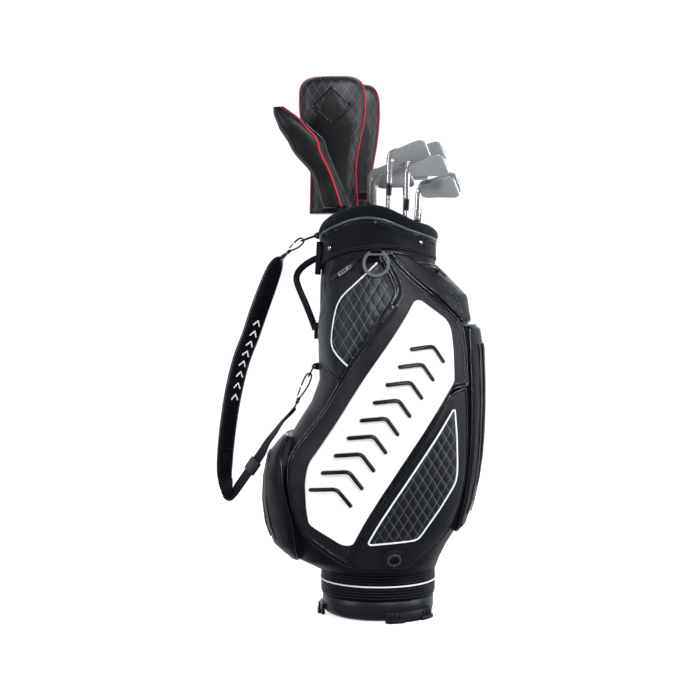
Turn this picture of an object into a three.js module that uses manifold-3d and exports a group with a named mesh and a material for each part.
// A golf staff bag with its clubs, in millimetres, +Z up, the floor at z = 0.
// The bag's axis is the Z axis. Its front, with the ball pocket, faces -Y.
// The shoulder strap is on the -X side.
// Angles run round the bag from the front (0) towards +X (90 degrees).
// A height and an angle name a point on the bag.
import * as THREE from "three";
import Module from "manifold-3d";
import { mergeVertices } from "three/addons/utils/BufferGeometryUtils.js";

const wasm = await Module();
wasm.setup();

// ---------- Driving dimensions ----------
const GAP = 0.4; // between neighbouring solids
const ROUND = 36; // flats round the tube, cuffs and tub
const TUBE_OUTER_R = 118;
const TUBE_INNER_R = 115;
const FLOOR_Z = 12; // inside of the tub, where the grips stand
const MOUTH_R = 112; // free radius inside the collar
const TUB_R = 121;
const TUB_H = 46;
const LOWER_CUFF_TOP = 106;
const SHELL_BOTTOM = 108;
const SHELL_SHARE = 0.8; // how far the padded shell fills the space between the tube and the pockets' faces
const SEAM_GAP = 2.6; // from a pocket's outline to the line of its seam
const BAND_R = 127;
const COLLAR_R = 131;
const DIVIDER_TOP = 806;
const DIVIDER_DEPTH = 42;
const DIVIDER_BAR = 6;
const DIVIDER_ROW_X = 42; // the two bars that run from front to back
const CROSS_Y = 2; // the cross bars of the middle and right rows
const LEFT_CROSS_Y = -32;
const GRIP_R = 12;
const GRIP_LENGTH = 265;
const IRON_TIP_R = 4.8;
const WOOD_TIP_R = 4.5;
const HOSEL_LENGTH = 66;
// How far an iron's sole climbs towards the toe, with the club standing on its grip.
const SOLE_RISE = THREE.MathUtils.degToRad(24);
const WIRE_R = 1.9; // D-rings and hooks

// The outline of the bag at each height: [z, left, right, front, back] distances from the axis.
const OUTLINE = [
  [96, 124, 126, 125, 125],
  [108, 150, 131, 140, 130],
  [125, 196, 138, 157, 138],
  [156, 229, 156, 168, 146],
  [200, 245, 192, 182, 152],
  [250, 251, 207, 197, 156],
  [300, 249, 218, 205, 158],
  [350, 239, 225, 208, 160],
  [400, 200, 229, 210, 160],
  [460, 153, 231, 209, 160],
  [510, 131, 231, 207, 158],
  [580, 133, 229, 200, 156],
  [620, 131, 223, 193, 153],
  [660, 128, 203, 183, 148],
  [694, 127, 194, 170, 143],
  [730, 127, 158, 154, 136],
  [760, 126, 131, 142, 131],
  [790, 126, 126, 130, 127],
];
const OUTLINE_POWER = 2.3; // 2 would make each quarter an ellipse

// Heights round the mouth by angle in degrees: the collar's rim, the seam under it and the band's lower edge.
const RIM = [
  [-135, 846], [-90, 840], [-69, 857], [-43, 874], [-25, 882], [-9, 885], [6, 880],
  [21, 867], [39, 852.5], [56, 847], [90, 838], [135, 850], [180, 866],
];
const SEAM = [
  [-135, 830], [-90, 821], [-71, 829], [-44, 843.5], [-29, 852.5], [-13, 857.5], [3, 853],
  [15, 844], [29, 833], [50, 823], [70, 817], [90, 813.5], [135, 828], [180, 838],
];
const BAND_FOOT = [
  [-135, 755], [-90, 752], [-60, 768], [-38, 780], [-20, 786], [-5, 789.5], [12, 789.5],
  [29, 786.5], [45, 781], [68, 776], [90, 770], [135, 762], [180, 764],
];

// ---------- Materials ----------
const paint = (color, roughness, metalness = 0) =>
  new THREE.MeshStandardMaterial({ color, roughness, metalness });
const LEATHER = paint(0x2a2b2e, 0.45);
const SATIN = paint(0x15171c, 0.6);
const FLEECE = paint(0x0c0e14, 0.95);
const PLASTIC = paint(0x1b1d22, 0.55);
const WEBBING = paint(0x10121a, 0.85);
const GUNMETAL = paint(0x4a4d52, 0.3, 1);
const STEEL = paint(0xc8c9cc, 0.18, 1);
const GRAPHITE = paint(0x111214, 0.35);
const COVER_LEATHER = paint(0x1f1f21, 0.5);

const bag = new THREE.Group();

function add(name, geometry, material, place) {
  const mesh = new THREE.Mesh(geometry, material);
  mesh.name = name;
  if (place) mesh.applyMatrix4(place);
  bag.add(mesh);
  return mesh;
}

// ---------- Small maths ----------
const rad = THREE.MathUtils.degToRad;
const vec = (x, y, z) => new THREE.Vector3(x, y, z);

// A value by height, straight between the rows of the outline.
function outlineAt(z) {
  const last = OUTLINE.length - 1;
  let i = 0;
  while (i < last - 1 && z > OUTLINE[i + 1][0]) i++;
  const [low, high] = [OUTLINE[i], OUTLINE[i + 1]];
  const t = THREE.MathUtils.clamp((z - low[0]) / (high[0] - low[0]), 0, 1);
  return [1, 2, 3, 4].map((k) => low[k] + (high[k] - low[k]) * t);
}

// Radius of the pockets' faces at an angle (radians) and height.
function faceRadius(angle, z) {
  const [left, right, front, back] = outlineAt(z);
  const across = Math.abs(Math.sin(angle)) / (angle > 0 && angle < Math.PI ? right : left);
  const along = Math.abs(Math.cos(angle)) / (Math.cos(angle) > 0 ? front : back);
  return Math.pow(across ** OUTLINE_POWER + along ** OUTLINE_POWER, -1 / OUTLINE_POWER);
}

// Radius of the padded shell that the pockets are sewn to.
function shellRadius(angle, z) {
  const base = TUBE_OUTER_R + 4;
  return Math.max(base + 2, base + SHELL_SHARE * (faceRadius(angle, z) - base));
}

const onBag = (radius, angle, z) => vec(radius * Math.sin(angle), -radius * Math.cos(angle), z);

// A smooth periodic curve through [degrees, value] pairs, as a function of an angle in radians.
function wave(pairs) {
  const period = 360;
  const n = pairs.length;
  const knot = (i) => [pairs[((i % n) + n) % n][0] + period * Math.floor(i / n), pairs[((i % n) + n) % n][1]];
  return (angle) => {
    let degrees = THREE.MathUtils.radToDeg(angle);
    while (degrees < pairs[0][0]) degrees += period;
    while (degrees >= pairs[0][0] + period) degrees -= period;
    let i = 0;
    while (knot(i + 1)[0] <= degrees) i++;
    const [p0, p1, p2, p3] = [knot(i - 1), knot(i), knot(i + 1), knot(i + 2)];
    const t = (degrees - p1[0]) / (p2[0] - p1[0]);
    const m1 = ((p2[1] - p0[1]) / (p2[0] - p0[0])) * (p2[0] - p1[0]);
    const m2 = ((p3[1] - p1[1]) / (p3[0] - p1[0])) * (p2[0] - p1[0]);
    const [t2, t3] = [t * t, t * t * t];
    return (2 * t3 - 3 * t2 + 1) * p1[1] + (t3 - 2 * t2 + t) * m1 + (3 * t2 - 2 * t3) * p2[1] + (t3 - t2) * m2;
  };
}
const rimAt = wave(RIM);
const seamAt = wave(SEAM);
const bandFootAt = wave(BAND_FOOT);

// The angle at which the bag's face stands x to the side of the axis, as drawn on the front elevation.
function frontAngle(x, z) {
  let [low, high] = [rad(-88), rad(88)];
  for (let i = 0; i < 40; i++) {
    const middle = (low + high) / 2;
    if (faceRadius(middle, z) * Math.sin(middle) < x) low = middle;
    else high = middle;
  }
  return (low + high) / 2;
}

// ---------- Solids ----------
// A geometry from points and triangles, turned inside out if its faces point in.
function geometryOf(points, triangles) {
  const sixth = ([a, b, c]) => points[a].dot(points[b].clone().cross(points[c]));
  const volume = triangles.reduce((sum, triangle) => sum + sixth(triangle), 0);
  const faces = volume < 0 ? triangles.map(([a, b, c]) => [a, c, b]) : triangles;
  return new THREE.BufferGeometry()
    .setAttribute("position", new THREE.Float32BufferAttribute(points.flatMap((p) => p.toArray()), 3))
    .setIndex(faces.flat());
}

const quad = (a, b, c, d) => [[a, b, c], [a, c, d]];

// Closed solid through loops of points, with a flat cap on the first and last.
function loft(loops) {
  const n = loops[0].length;
  const points = loops.flat();
  const triangles = [];
  for (let k = 0; k + 1 < loops.length; k++)
    for (let i = 0; i < n; i++) {
      const j = (i + 1) % n;
      triangles.push(...quad(k * n + i, k * n + j, (k + 1) * n + j, (k + 1) * n + i));
    }
  const end = (loops.length - 1) * n;
  for (let i = 1; i + 1 < n; i++) triangles.push([0, i + 1, i], [end, end + i, end + i + 1]);
  return geometryOf(points, triangles);
}

// Closed ring round the Z axis whose section, a loop of [radius, z], may change with the angle.
function ring(sectionAt, flats = ROUND) {
  const points = [];
  const triangles = [];
  let n = 0;
  for (let k = 0; k < flats; k++) {
    const angle = (k / flats) * Math.PI * 2;
    const section = sectionAt(angle);
    n = section.length;
    section.forEach(([r, z]) => points.push(onBag(r, angle, z)));
  }
  for (let k = 0; k < flats; k++)
    for (let i = 0; i < n; i++) {
      const [here, next, j] = [k * n, ((k + 1) % flats) * n, (i + 1) % n];
      triangles.push(...quad(here + i, here + j, next + j, next + i));
    }
  return geometryOf(points, triangles);
}

function solid(geometry) {
  const bare = geometry.clone();
  bare.deleteAttribute("normal");
  bare.deleteAttribute("uv");
  const merged = mergeVertices(bare, 1e-3);
  return new wasm.Manifold(
    new wasm.Mesh({
      numProp: 3,
      vertProperties: new Float32Array(merged.attributes.position.array),
      triVerts: new Uint32Array(merged.index.array),
    }),
  );
}

function geometryFrom(manifold) {
  const mesh = manifold.getMesh();
  return new THREE.BufferGeometry()
    .setAttribute("position", new THREE.BufferAttribute(new Float32Array(mesh.vertProperties), 3))
    .setIndex(new THREE.BufferAttribute(new Uint32Array(mesh.triVerts), 1));
}

const join = (...parts) => geometryFrom(parts.map(solid).reduce((a, b) => a.add(b)));
const cut = (body, ...tools) => geometryFrom(tools.map(solid).reduce((a, b) => a.subtract(b), solid(body)));

function tube(points, radius, sides = 8, steps = 24) {
  const path = new THREE.CatmullRomCurve3(points, false, "centripetal");
  const section = new THREE.Shape();
  for (let i = 0; i < sides; i++) {
    const angle = (i / sides) * Math.PI * 2;
    const [x, y] = [radius * Math.cos(angle), radius * Math.sin(angle)];
    if (i) section.lineTo(x, y);
    else section.moveTo(x, y);
  }
  section.closePath();
  return new THREE.ExtrudeGeometry(section, { steps, bevelEnabled: false, extrudePath: path });
}

function box(dx, dy, dz, x = 0, y = 0, z = 0) {
  return new THREE.BoxGeometry(dx, dy, dz).translate(x, y, z);
}

const lathe = (profile, flats = ROUND) =>
  new THREE.LatheGeometry(profile.map(([r, z]) => new THREE.Vector2(r, z)), flats).rotateX(Math.PI / 2);

// Block that follows the bag round from one angle to another.
function arcBlock([startDeg, endDeg], [innerR, outerR], [lowZ, highZ], steps = 3) {
  const loops = [];
  for (let k = 0; k <= steps; k++) {
    const angle = rad(startDeg + ((endDeg - startDeg) * k) / steps);
    const section = [[innerR, lowZ], [outerR, lowZ], [outerR, highZ], [innerR, highZ]];
    loops.push(section.map(([r, z]) => onBag(r, angle, z)));
  }
  return loft(loops);
}

// ---------- Tub, feet, tube and cuffs ----------
function baseTub() {
  const profile = [[0, 0], [100, 0], [115, 5], [TUB_R, 13], [TUB_R + 1, TUB_H], [TUBE_OUTER_R + GAP, TUB_H]];
  profile.push([TUBE_OUTER_R + GAP, FLOOR_Z], [0, FLOOR_Z]);
  return lathe(profile);
}

function foot(startDeg, endDeg, lugs) {
  const plate = arcBlock([startDeg, endDeg], [TUB_R + 2, TUB_R + 8], [0, 23], 4);
  const pads = lugs.map(([a, b]) => arcBlock([a, b], [TUB_R + 1.6, TUB_R + 13], [0, 9], 2));
  return join(plate, ...pads);
}

add("base_tub", baseTub(), PLASTIC);
add("foot_left", foot(-104, -72, [[-98, -78]]), PLASTIC);
add("foot_front", foot(6, 64, [[8, 24], [44, 62]]), PLASTIC);
add("foot_back", foot(140, 205, [[144, 160], [184, 200]]), PLASTIC);

add("club_tube", ring((a) => {
  const top = seamAt(a) - GAP;
  return [
    [TUBE_INNER_R, FLOOR_Z + GAP], [TUBE_OUTER_R, FLOOR_Z + GAP], [TUBE_OUTER_R, top],
    [TUBE_INNER_R, top],
  ];
}), PLASTIC);

add("lower_cuff", lathe([
  [TUBE_OUTER_R + GAP, TUB_H + GAP], [TUB_R + 3, TUB_H + GAP], [TUB_R + 4.5, 60], [TUB_R + 3.4, 77],
  [TUB_R + 4.5, 94], [TUB_R + 3, LOWER_CUFF_TOP],
  [TUBE_OUTER_R + GAP, LOWER_CUFF_TOP], [TUBE_OUTER_R + GAP, TUB_H + GAP],
]), SATIN);

add("cuff_band", ring((a) => {
  const [low, high] = [bandFootAt(a), seamAt(a) - GAP];
  return [
    [TUBE_OUTER_R + GAP, low], [BAND_R, low], [BAND_R + 1, (low + high) / 2], [BAND_R - 1, high],
    [TUBE_OUTER_R + GAP, high],
  ];
}), SATIN);

add("top_collar", ring((a) => {
  const [low, high] = [seamAt(a), rimAt(a)];
  const rise = high - low;
  return [
    [MOUTH_R + 1, low], [BAND_R, low], [COLLAR_R, low + rise * 0.4], [COLLAR_R - 2, low + rise * 0.8],
    [COLLAR_R - 8, high], [MOUTH_R + 5, high - 1], [MOUTH_R, high - rise * 0.35],
  ];
}), FLEECE);

// Six-way divider: a hoop inside the tube with two bars front to back and a short bar across each row.
function divider() {
  const low = DIVIDER_TOP - DIVIDER_DEPTH;
  const outer = TUBE_INNER_R - GAP;
  const section = [[outer, low], [outer, DIVIDER_TOP], [MOUTH_R, DIVIDER_TOP], [MOUTH_R, low], [outer, low]];
  const hoop = lathe(section);
  const middle = (low + DIVIDER_TOP) / 2;
  const halfChord = (offset) => Math.sqrt((MOUTH_R + 1) ** 2 - (Math.abs(offset) + DIVIDER_BAR / 2) ** 2);
  const rows = [-1, 1].map((side) =>
    box(DIVIDER_BAR, 2 * halfChord(DIVIDER_ROW_X), DIVIDER_DEPTH, side * DIVIDER_ROW_X, 0, middle));
  const crossBar = (fromX, toX, y) =>
    box(toX - fromX, DIVIDER_BAR, DIVIDER_DEPTH, (fromX + toX) / 2, y, middle);
  const cross = [
    crossBar(-DIVIDER_ROW_X, DIVIDER_ROW_X, CROSS_Y),
    crossBar(DIVIDER_ROW_X, halfChord(CROSS_Y), CROSS_Y),
    crossBar(-halfChord(LEFT_CROSS_Y), -DIVIDER_ROW_X, LEFT_CROSS_Y),
  ];
  return join(hoop, ...rows, ...cross);
}
add("six_way_divider", divider(), PLASTIC);

// ---------- Padded shell and pockets ----------
const SHELL_ROWS = 13;
function shell(grow = 0) {
  return ring((a) => {
    const [low, high] = [SHELL_BOTTOM - grow, bandFootAt(a) - 1 + grow];
    const section = [[TUBE_OUTER_R + GAP - grow * 10, low]];
    for (let k = 0; k <= SHELL_ROWS; k++) {
      const z = low + ((high - low) * k) / SHELL_ROWS;
      section.push([shellRadius(a, z) + grow, z]);
    }
    section.push([TUBE_OUTER_R + GAP - grow * 10, high]);
    return section;
  });
}
add("body_shell", shell(), LEATHER);
const shellCutter = shell(GAP);

// A point of a pocket's outline: drawn on the front elevation, or at an angle in degrees.
const front = (x, z) => [frontAngle(x, z), z];
const at = (degrees, z) => [rad(degrees), z];

// The point at a share t of a polyline's length.
function along(line, t) {
  const lengths = line.slice(1).map((p, i) => Math.hypot((p[0] - line[i][0]) * 160, p[1] - line[i][1]));
  let rest = t * lengths.reduce((a, b) => a + b, 0);
  let i = 0;
  while (i < lengths.length - 1 && rest > lengths[i]) rest -= lengths[i++];
  const share = Math.min(1, rest / lengths[i]);
  return [0, 1].map((k) => line[i][k] + (line[i + 1][k] - line[i][k]) * share);
}

// A pocket between its left and right seams, from the shell out to the bag's face, both seams drawn upwards.
function pocket(leftSeam, rightSeam, across, up) {
  const points = [];
  const row = across + 1;
  const layer = row * (up + 1);
  const inset = SEAM_GAP / 2;
  [0, 1].forEach((outer) => {
    for (let j = 0; j <= up; j++) {
      const [l, r] = [along(leftSeam, j / up), along(rightSeam, j / up)];
      const width = Math.hypot((r[0] - l[0]) * 160, r[1] - l[1]);
      for (let i = 0; i <= across; i++) {
        const t = THREE.MathUtils.clamp(i / across, inset / width, 1 - inset / width);
        const [angle, z] = [l[0] + (r[0] - l[0]) * t, l[1] + (r[1] - l[1]) * t];
        const face = Math.max(faceRadius(angle, z), shellRadius(angle, z) + 4);
        points.push(onBag(outer ? face : TUBE_OUTER_R + 2, angle, z));
      }
    }
  });
  const triangles = [];
  for (let j = 0; j < up; j++)
    for (let i = 0; i < across; i++) {
      const a = j * row + i;
      triangles.push(...quad(a, a + row, a + row + 1, a + 1));
      triangles.push(...quad(layer + a, layer + a + 1, layer + a + row + 1, layer + a + row));
    }
  const rim = [];
  for (let i = 0; i < across; i++) rim.push(i);
  for (let j = 0; j < up; j++) rim.push(j * row + across);
  for (let i = across; i > 0; i--) rim.push(up * row + i);
  for (let j = up; j > 0; j--) rim.push(j * row);
  rim.forEach((a, k) => {
    const b = rim[(k + 1) % rim.length];
    triangles.push(...quad(a, b, layer + b, layer + a));
  });
  return cut(geometryOf(points, triangles), shellCutter);
}

const FRONT_LEFT = [
  front(-52, 116), front(-104, 146), front(-162, 186), front(-187, 254), front(-194, 326),
  front(-181, 370), front(-72, 536), front(42, 702), front(18, 762),
];
const FRONT_RIGHT = [
  front(-46, 118), front(150, 496), front(183, 522), front(182, 590), front(172, 634), front(96, 706),
  front(24, 764),
];
const LOWER_LEFT = [front(-38, 118), front(152, 482), front(176, 508)];
const LOWER_RIGHT = [
  front(58, 118), front(129, 170), front(160, 219), front(178, 304), front(182, 400), front(182, 506),
];
const VALUABLES_LEFT = [
  front(-86, 514), front(-112, 538), front(-124, 572), at(-80, 610), at(-78, 656), front(-119, 694),
  front(-92, 726), front(-62, 748), front(-24, 762),
];
const VALUABLES_RIGHT = [
  front(-80, 520), front(-72, 546), front(14, 672), front(34, 704), front(28, 724), front(-6, 762),
];
const UPPER_LEFT = [front(180, 634), front(104, 706), front(34, 764)];
const UPPER_RIGHT = [at(66, 636), at(84, 690), at(96, 752)];
const RIGHT_FRONT = [at(62, 188), at(60, 240), at(58.5, 300), at(58.5, 568), at(62, 630)];
const RIGHT_BACK = [at(118, 188), at(122, 240), at(124, 300), at(124, 568), at(118, 630)];
const LEFT_BACK = [at(-124, 128), at(-130, 160), at(-132, 220), at(-132, 330), at(-122, 392)];
const LEFT_FRONT = [at(-62, 128), at(-57, 160), at(-54, 220), at(-60, 330), at(-70, 392)];

add("ball_pocket", pocket(FRONT_LEFT, FRONT_RIGHT, 8, 10), LEATHER);
add("lower_front_pocket", pocket(LOWER_LEFT, LOWER_RIGHT, 6, 8), LEATHER);
add("valuables_pocket", pocket(VALUABLES_LEFT, VALUABLES_RIGHT, 5, 9), LEATHER);
add("upper_right_pocket", pocket(UPPER_LEFT, UPPER_RIGHT, 6, 6), LEATHER);
add("apparel_pocket", pocket(RIGHT_FRONT, RIGHT_BACK, 7, 9), LEATHER);
add("accessory_pocket", pocket(LEFT_BACK, LEFT_FRONT, 7, 8), LEATHER);

// ---------- Umbrella tab, towel ring and carry handle ----------
// A frame on the bag's face: X along the zip or down the tab, Z straight out of the face.
function faceFrame([angle, z], [toAngle, toZ], lift) {
  const p = onBag(faceRadius(angle, z), angle, z);
  const q = onBag(faceRadius(toAngle, toZ), toAngle, toZ);
  const xAxis = q.clone().sub(p).normalize();
  const onFace = (a, h) => onBag(faceRadius(a, h), a, h);
  const round = onFace(angle + 0.02, z).sub(onFace(angle - 0.02, z));
  const upward = onFace(angle, z + 3).sub(onFace(angle, z - 3));
  const out = round.cross(upward).normalize();
  const zAxis = out.addScaledVector(xAxis, -out.dot(xAxis)).normalize();
  const yAxis = zAxis.clone().cross(xAxis);
  const origin = p.addScaledVector(zAxis, lift);
  const matrix = new THREE.Matrix4().makeBasis(xAxis, yAxis, zAxis).setPosition(origin);
  return { origin, xAxis, yAxis, zAxis, matrix };
}

const EYELET_R = 10.8;
const EYELET_FRAME = faceFrame(front(30, 143), front(30, 121), 2.2);
// The tab is sewn into the lower seam, with its round end up.
function eyeletTab() {
  const plate = new THREE.Shape();
  plate.moveTo(22, -24);
  plate.lineTo(22, 24);
  plate.lineTo(0, 27);
  plate.absarc(0, 0, 27, Math.PI / 2, Math.PI * 1.5, false);
  plate.closePath();
  plate.holes.push(new THREE.Path().absarc(0, 0, EYELET_R + 5.3, 0, Math.PI * 2, true));
  return new THREE.ExtrudeGeometry(plate, { depth: 2.4, bevelEnabled: false, curveSegments: 8 });
}
add("umbrella_tab", eyeletTab(), LEATHER, EYELET_FRAME.matrix);
const EYELET_PROFILE = [
  [EYELET_R, 0], [EYELET_R + 5, 0], [EYELET_R + 5, 2.6], [EYELET_R + 3, 4.4], [EYELET_R, 3.4], [EYELET_R, 0],
];
add("umbrella_eyelet", lathe(EYELET_PROFILE, 20), GUNMETAL, EYELET_FRAME.matrix);

// The towel ring hangs by its top bar, which turns in a loop of webbing that comes out from under the band.
const TOWEL_RING = {
  x: -7, y: -160, pivotZ: 785.7, outerR: 29, innerR: 22.5, thick: 5, slotWidth: 24, barHeight: 4.6,
};
function towelRing() {
  const { outerR, innerR, thick, slotWidth, barHeight } = TOWEL_RING;
  const middle = barHeight / 2 - outerR;
  const face = new THREE.Shape().absarc(0, middle, outerR, 0, Math.PI * 2, false);
  const eye = new THREE.Path();
  eye.absarc(0, middle, innerR, rad(132), rad(408), false);
  eye.closePath();
  const slot = new THREE.Path();
  slot.moveTo(-slotWidth / 2, -5.7);
  slot.lineTo(slotWidth / 2, -5.7);
  slot.lineTo(slotWidth / 2, -barHeight / 2);
  slot.lineTo(-slotWidth / 2, -barHeight / 2);
  slot.closePath();
  face.holes.push(eye, slot);
  return new THREE.ExtrudeGeometry(face, { depth: thick, bevelEnabled: false, curveSegments: 10 })
    .rotateX(Math.PI / 2)
    .translate(TOWEL_RING.x, TOWEL_RING.y + thick / 2, TOWEL_RING.pivotZ);
}
add("towel_ring", towelRing(), PLASTIC);

const TOWEL_LOOP_R = 5.3;
function towelTab() {
  const width = 21;
  const side = new THREE.Shape();
  side.moveTo(24, -TOWEL_LOOP_R);
  side.lineTo(24, TOWEL_LOOP_R + 4);
  side.lineTo(0, TOWEL_LOOP_R);
  side.absarc(0, 0, TOWEL_LOOP_R, Math.PI / 2, Math.PI * 1.5, false);
  side.closePath();
  side.holes.push(new THREE.Path().absarc(0, 0, 3.6, 0, Math.PI * 2, true));
  const loop = new THREE.ExtrudeGeometry(side, { depth: width, bevelEnabled: false, curveSegments: 6 });
  const place = new THREE.Matrix4().makeBasis(vec(0, 1, 0), vec(0, 0, 1), vec(1, 0, 0));
  return loop.applyMatrix4(place.setPosition(TOWEL_RING.x - width / 2, TOWEL_RING.y, TOWEL_RING.pivotZ));
}
add("towel_tab", towelTab(), WEBBING);

// Carry handle: a bent tube from under the cuff down to the shell, with a mounting plate at each end.
const HANDLE_PATH = [
  [-132.6, 776], [-143, 772], [-163, 759], [-176, 744], [-179, 728], [-172, 706], [-157, 671],
  [-143.5, 636], [-137.5, 619],
];
const HANDLE_Y = -6;
function carryHandle() {
  const bent = tube(HANDLE_PATH.map(([x, z]) => vec(x, HANDLE_Y, z)), 7.6, 8, 18);
  const topPlate = box(3, 30, 34, -130.2, HANDLE_Y, 774);
  const lowPlate = box(9, 26, 36, -135.4, HANDLE_Y, 617);
  return join(bent, topPlate, lowPlate);
}
add("carry_handle", carryHandle(), PLASTIC);

// ---------- Shoulder strap with its D-rings and snap hooks ----------
const STRAP_Y = -34;
const strapPoint = (x, z) => vec(x, STRAP_Y, z);

// Closed loop of round wire through flat corners, mitred at each; normal is square to the loop's plane.
function wireLoop(corners, normal, radius, sides = 6) {
  const n = corners.length;
  const points = [];
  corners.forEach((corner, i) => {
    const into = corner.clone().sub(corners[(i + n - 1) % n]).normalize();
    const out = corners[(i + 1) % n].clone().sub(corner).normalize();
    const tangent = into.clone().add(out).normalize();
    const across = normal.clone().cross(tangent).normalize();
    const stretch = 1 / tangent.dot(out);
    for (let k = 0; k < sides; k++) {
      const angle = ((k + 0.5) / sides) * Math.PI * 2;
      const sideways = across.clone().multiplyScalar(radius * stretch * Math.cos(angle));
      points.push(corner.clone().add(sideways).addScaledVector(normal, radius * Math.sin(angle)));
    }
  });
  const triangles = [];
  for (let i = 0; i < n; i++)
    for (let k = 0; k < sides; k++) {
      const [here, next, k1] = [i * sides, ((i + 1) % n) * sides, (k + 1) % sides];
      triangles.push(...quad(here + k, here + k1, next + k1, next + k));
    }
  return geometryOf(points, triangles);
}

// Oval wire ring that lies edge-on to the front, from its bar in the tab out to where the hook pulls.
function dRing([barX, barZ], [outX, outZ]) {
  const length = Math.hypot(outX - barX, outZ - barZ);
  const half = 10;
  const along = vec((outX - barX) / length, 0, (outZ - barZ) / length);
  const spots = [
    [0, -half], [length - 6, -half], [length, -half + 5], [length, half - 5], [length - 6, half],
    [0, half],
  ];
  const corners = spots.map(([u, v]) => vec(barX, STRAP_Y + v, barZ).addScaledVector(along, u));
  return wireLoop(corners, along.clone().cross(vec(0, 1, 0)), WIRE_R);
}

// Straight rod between two points, with its ends run past them by half its radius so that corners close.
function rod(from, to, radius, sides = 8, overrun = 0.6) {
  const direction = to.clone().sub(from);
  const length = direction.length() + 2 * overrun * radius;
  const turn = new THREE.Quaternion().setFromUnitVectors(vec(0, 1, 0), direction.normalize());
  const middle = from.clone().add(to).multiplyScalar(0.5);
  const along = new THREE.CylinderGeometry(radius, radius, length, sides).applyQuaternion(turn);
  return along.translate(...middle.toArray());
}

// Leather tab with a hole for the ring's bar.
function ringTab([barX, barZ], depth) {
  const body = box(depth, 13, 16, barX + depth / 2 - 4.4, STRAP_Y, barZ);
  const hole = rod(vec(barX, STRAP_Y - 20, barZ), vec(barX, STRAP_Y + 20, barZ), WIRE_R + GAP, 8);
  return cut(body, hole);
}
const TOP_BAR = [-136, 824];
const LOW_BAR = [-140.5, 540];
const cuffCutter = ring(() => [[60, 700], [BAND_R + 1.5, 700], [COLLAR_R + 0.5, 840], [60, 840]], ROUND);
add("top_ring_tab", cut(ringTab(TOP_BAR, 12), shellCutter, cuffCutter), LEATHER);
add("top_d_ring", dRing(TOP_BAR, [-168, 812.4]), GUNMETAL);
add("low_ring_tab", cut(ringTab(LOW_BAR, 16), shellCutter), LEATHER);
add("low_d_ring", dRing(LOW_BAR, [-151.5, 518]), GUNMETAL);

// Snap hook: a barrel, an eye for the strap and a bent wire hook that the gate closes.
const EYE_HALF_WIDTH = 14;
function snapHook(tip, base) {
  const axis = base.clone().sub(tip).normalize();
  const side = vec(0, -1, 0).cross(axis).normalize();
  const length = tip.distanceTo(base);
  const spot = (u, v) => tip.clone().addScaledVector(axis, u * length).addScaledVector(side, v);
  const bend = [[0.36, -6.4], [0.2, -7], [0.05, -5.6], [-0.02, 0], [0.06, 5.8], [0.3, 7], [0.58, 3], [0.68, 0]];
  const hook = tube(bend.map(([u, v]) => spot(u, v)), WIRE_R, 6, 14);
  const barrel = rod(spot(0.66, 0), spot(0.84, 0), 4, 8, 0);
  const half = EYE_HALF_WIDTH;
  const eyeCorners = [[0.84, -half], [1, -half], [1, half], [0.84, half]];
  const eye = wireLoop(eyeCorners.map(([u, dy]) => spot(u, 0).add(vec(0, dy, 0))), side, WIRE_R);
  return { hook: join(hook, barrel, eye), gate: rod(spot(0.41, -6.2), spot(0.64, -5), 1.6, 6, 0) };
}
const TOP_EYE = [-205, 780];
const LOW_EYE = [-184, 446];
const topHook = snapHook(strapPoint(-164.4, 816), strapPoint(...TOP_EYE));
add("top_hook", topHook.hook, GUNMETAL);
add("top_hook_gate", topHook.gate, GUNMETAL);
const lowHook = snapHook(strapPoint(-149, 523), strapPoint(...LOW_EYE));
add("low_hook", lowHook.hook, GUNMETAL);
add("low_hook_gate", lowHook.gate, GUNMETAL);

// Directions of a strap that runs along [dx, dz]: along it, across its width, and through its thickness.
function strapAxes([dx, dz], turn) {
  const run = vec(dx, 0, dz).normalize();
  const flat = vec(0, 1, 0).cross(run).normalize();
  const wide = flat.multiplyScalar(Math.cos(rad(turn))).add(vec(0, -Math.sin(rad(turn)), 0));
  return { run, wide, deep: run.clone().cross(wide).normalize() };
}

// A flat or padded strap through [x, z] stations in the strap's plane.
// Turn is the angle of its width to that plane.
function strap(stations, power = 4, sides = 8) {
  const loops = stations.map(({ at: [x, z], width, thick, turn }, i) => {
    const before = stations[Math.max(0, i - 1)].at;
    const after = stations[Math.min(stations.length - 1, i + 1)].at;
    const { wide, deep } = strapAxes([after[0] - before[0], after[1] - before[1]], turn);
    return Array.from({ length: sides }, (_, k) => {
      const angle = ((k + 0.5) / sides) * Math.PI * 2;
      const round = (c) => Math.sign(c) * Math.abs(c) ** (2 / power);
      return strapPoint(x, z)
        .addScaledVector(wide, (width / 2) * round(Math.cos(angle)))
        .addScaledVector(deep, (thick / 2) * round(Math.sin(angle)));
    });
  });
  return loft(loops);
}
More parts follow.
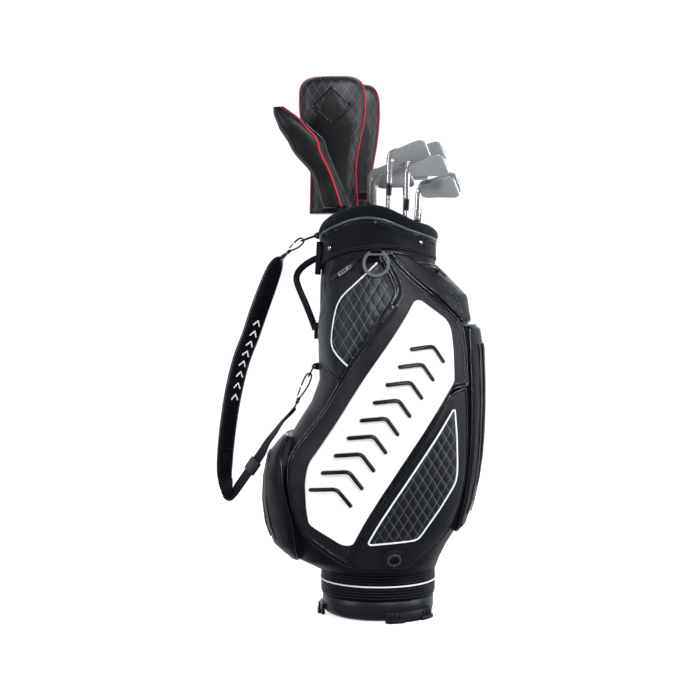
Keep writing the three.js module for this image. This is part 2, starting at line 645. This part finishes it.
// The sewn end of a strap wraps the eye's bar, which leaves a round hole through it.
const barHole = ([x, z]) => {
  const middle = strapPoint(x, z);
  return rod(middle.clone().add(vec(0, -30, 0)), middle.clone().add(vec(0, 30, 0)), WIRE_R + GAP, 8);
};
const PAD = [
  { at: [-201.6, 783.6], width: 22, thick: 8.4, turn: 90 },
  { at: [-208, 777.2], width: 25, thick: 8.8, turn: 84 },
  { at: [-217, 768], width: 36, thick: 10.5, turn: 58 },
  { at: [-227, 748], width: 44, thick: 12.5, turn: 47 },
  { at: [-243, 706], width: 48, thick: 14, turn: 45 },
  { at: [-260.5, 658], width: 50, thick: 14.5, turn: 46 },
  { at: [-278, 606], width: 50, thick: 15, turn: 48 },
  { at: [-297, 556], width: 50, thick: 15, turn: 49 },
  { at: [-311.5, 500], width: 50, thick: 15, turn: 50 },
  { at: [-322.5, 440], width: 48, thick: 15, turn: 50 },
  { at: [-331, 370], width: 48, thick: 14, turn: 52 },
  { at: [-334.5, 310], width: 46, thick: 13, turn: 54 },
  { at: [-330, 274], width: 42, thick: 10, turn: 66 },
];
add("strap_pad", cut(strap(PAD), barHole(TOP_EYE)), COVER_LEATHER);
const LOW_WEBBING = [
  { at: [-331, 271], width: 38, thick: 3, turn: 68 },
  { at: [-329, 260], width: 38, thick: 3, turn: 70 },
  { at: [-322, 256], width: 38, thick: 3, turn: 70 },
  { at: [-314, 264], width: 38, thick: 3, turn: 66 },
  { at: [-304, 279.4], width: 38, thick: 3, turn: 62 },
  { at: [-291, 298], width: 38, thick: 3, turn: 62 },
  { at: [-256, 348], width: 38, thick: 3, turn: 62 },
  { at: [-241, 375], width: 36, thick: 3, turn: 70 },
  { at: [-224.5, 397], width: 34, thick: 3, turn: 74 },
  { at: [-208, 420], width: 30, thick: 3, turn: 80 },
  { at: [-190, 438.4], width: 22, thick: 8.4, turn: 90 },
  { at: [-181.4, 449], width: 22, thick: 8.4, turn: 90 },
];
add("strap_low_webbing", cut(strap(LOW_WEBBING), barHole(LOW_EYE)), WEBBING);

// Flat buckle that the webbing passes through, front and back of it.
function strapAdjuster() {
  const plate = box(46, 30, 8);
  const slot = box(41, 60, 4.8);
  const { run, wide, deep } = strapAxes([35, 50], 62);
  const place = new THREE.Matrix4().makeBasis(wide, run, deep.negate()).setPosition(-273.5, STRAP_Y, 323);
  return cut(plate, slot).applyMatrix4(place);
}
add("strap_adjuster", strapAdjuster(), PLASTIC);

// ---------- Zips: a slider on each zip and a pull that hinges on it ----------
const ZIPS = {
  valuables: { from: front(-56, 752), to: front(-90, 728), lift: 2.8, pull: 34 },
  ball: { from: front(24, 664), to: front(-16, 604), lift: 4, pull: 38 },
  upper: { from: at(52, 744), to: at(60, 716), lift: 2.6, pull: 24 },
};
const SLIDER = { length: 12, width: 9, height: 4 };

function zipSlider() {
  const body = box(SLIDER.length, SLIDER.width, SLIDER.height, 0, 0, SLIDER.height / 2);
  const bridgeFeet = [-4, 4].map((x) => box(1.6, 3, 4, x, 0, SLIDER.height + 1.4));
  const bridgeTop = box(9.6, 3, 1.4, 0, 0, SLIDER.height + 4);
  return join(body, ...bridgeFeet, bridgeTop);
}

// The pull's eye goes round the slider's bridge; its tab lies along the zip.
function zipPull(length) {
  const height = SLIDER.height + 1.6;
  const tab = new THREE.Shape();
  tab.moveTo(-0.4, -3.2);
  tab.lineTo(8, -4.6);
  tab.lineTo(length, -4.6);
  tab.lineTo(length, 4.6);
  tab.lineTo(8, 4.6);
  tab.lineTo(-0.4, 3.2);
  tab.closePath();
  const eye = new THREE.Path();
  eye.moveTo(0.8, -2.1);
  eye.lineTo(0.8, 2.1);
  eye.lineTo(6, 2.1);
  eye.lineTo(6, -2.1);
  eye.closePath();
  tab.holes.push(eye);
  return new THREE.ExtrudeGeometry(tab, { depth: 1.6, bevelEnabled: false }).translate(0, 0, height - 0.8);
}
for (const [name, zip] of Object.entries(ZIPS)) {
  const frame = faceFrame(zip.from, zip.to, zip.lift);
  add(`${name}_zip_slider`, zipSlider(), GUNMETAL, frame.matrix);
  add(`${name}_zip_pull`, zipPull(zip.pull), PLASTIC, frame.matrix);
}

// ---------- Clubs ----------
// Each club stands on its grip at foot and leans so that it passes through mouth, at MOUTH_Z.
const MOUTH_Z = 860;
const FOOT_Z = FLOOR_Z + 2.5;
const clubFrame = ([fx, fy], [mx, my]) => {
  const up = vec(mx - fx, my - fy, MOUTH_Z - FOOT_Z).normalize();
  const toe = vec(1, 0, 0).addScaledVector(up, -up.x).normalize();
  return new THREE.Matrix4().makeBasis(toe, up.clone().cross(toe), up).setPosition(fx, fy, FOOT_Z);
};

function clubShaft(length, tipR) {
  const profile = [
    [0, 0], [GRIP_R, 0], [GRIP_R - 1.6, GRIP_LENGTH], [7.4, GRIP_LENGTH], [tipR, length], [0, length],
  ];
  return lathe(profile, 10);
}

// Iron head, from the end of its hosel (z = 0) up to the sole, the toe towards +X and the face towards -Y.
const BLADE_LENGTH = 79;
function ironHead() {
  const [cos, sin] = [Math.cos(SOLE_RISE), Math.sin(SOLE_RISE)];
  const heel = vec(1, 0, HOSEL_LENGTH + 4);
  const spot = (s, t, y) => heel.clone().add(vec(s * cos + t * sin, y, s * sin - t * cos));
  const stations = [
    [0, 4, 22], [10, 0, 29], [28, 0, 35], [50, 0, 44], [66, 1.5, 50], [73, 5, 49], [77, 11, 43],
    [BLADE_LENGTH, 20, 33],
  ];
  const loops = stations.map(([s, low, high]) => {
    const tall = high - low;
    const section = [
      [low + 1, -8.4], [high, -2.4], [high, 2.6], [low + tall * 0.45, 4.6], [low + tall * 0.22, 8.6], [low, 4],
    ];
    return section.map(([t, y]) => spot(s, t, y));
  });
  const neck = [[0, 0], [6.6, 0], [6.6, HOSEL_LENGTH - 4], [4, HOSEL_LENGTH + 1], [0, HOSEL_LENGTH + 1]];
  const hosel = lathe(neck, 10);
  return join(loft(loops), hosel);
}

const IRONS = [
  { foot: [-17, 26], mouth: [-18, 44], sole: 968 },
  { foot: [-12, -14], mouth: [-10, -20], sole: 946 },
  { foot: [12, -48], mouth: [22, -59.5], sole: 1000 },
  { foot: [18, 52], mouth: [25, 71], sole: 972 },
  { foot: [44, 24], mouth: [60, 25], sole: 1008 },
  { foot: [46, -70], mouth: [59, -80.5], sole: 966 },
  { foot: [36, -6], mouth: [88, -15.5], sole: 940 },
  { foot: [44, -37], mouth: [84, -39.5], sole: 926 },
];
IRONS.forEach(({ foot: at0, mouth, sole }, i) => {
  const frame = clubFrame(at0, mouth);
  const shaftLength = sole - HOSEL_LENGTH - FOOT_Z;
  add(`iron_${i + 1}_shaft`, clubShaft(shaftLength - GAP, IRON_TIP_R), STEEL, frame);
  add(`iron_${i + 1}_head`, ironHead().translate(0, 0, shaftLength), STEEL, frame);
});

// Head cover: an upright sock through [z, x, y, half width, half depth] sections of its own frame.
function headCover(sections, power = 2.6, sides = 12) {
  const loops = sections.map(([z, x, y, halfWidth, halfDepth]) =>
    Array.from({ length: sides }, (_, k) => {
      const angle = (k / sides) * Math.PI * 2;
      const round = (c) => Math.sign(c) * Math.abs(c) ** (2 / power);
      return vec(x + halfWidth * round(Math.cos(angle)), y + halfDepth * round(Math.sin(angle)), z);
    }));
  return loft(loops);
}
const WOODS = [
  {
    name: "driver", foot: [-66, 6], mouth: [-84, 8], coverFoot: 876,
    sections: [
      [0, -12, 0, 54, 30], [40, -12, 0, 52, 30], [100, -12, 0, 51, 33], [160, -11, 0, 61, 40],
      [205, -11, 0, 71, 45], [250, -11, 0, 73, 46], [280, -11, 0, 64, 40], [298, -11, 0, 36, 22],
    ],
  },
  {
    name: "fairway", foot: [-44, -58], mouth: [-72, -68], coverFoot: 884,
    sections: [
      [0, -19, 0, 28, 27], [40, -30, -2, 27, 28], [78, -45, -4, 27, 31],
      [116, -68, -6, 35, 36], [145, -80, -8, 38, 38],
      [169, -100, -10, 33, 38], [183, -110, -11, 28, 36], [200, -123, -12, 21, 30], [214, -133, -12, 12, 20],
    ],
  },
  {
    name: "hybrid", foot: [-48, 62], mouth: [-59, 78], coverFoot: 872,
    sections: [
      [0, 14, 6, 30, 26], [90, 14, 6, 34, 28], [170, 18, 6, 44, 30], [235, 21, 6, 47, 31],
      [275, 21, 6, 42, 27], [297, 21, 6, 22, 14],
    ],
  },
];
for (const { name, foot: at0, mouth, coverFoot, sections } of WOODS) {
  const frame = clubFrame(at0, mouth);
  const shaftLength = coverFoot - FOOT_Z;
  add(`${name}_shaft`, clubShaft(shaftLength - GAP, WOOD_TIP_R), GRAPHITE, frame);
  add(`${name}_cover`, headCover(sections).translate(0, 0, shaftLength), COVER_LEATHER, frame);
}
export default bag;
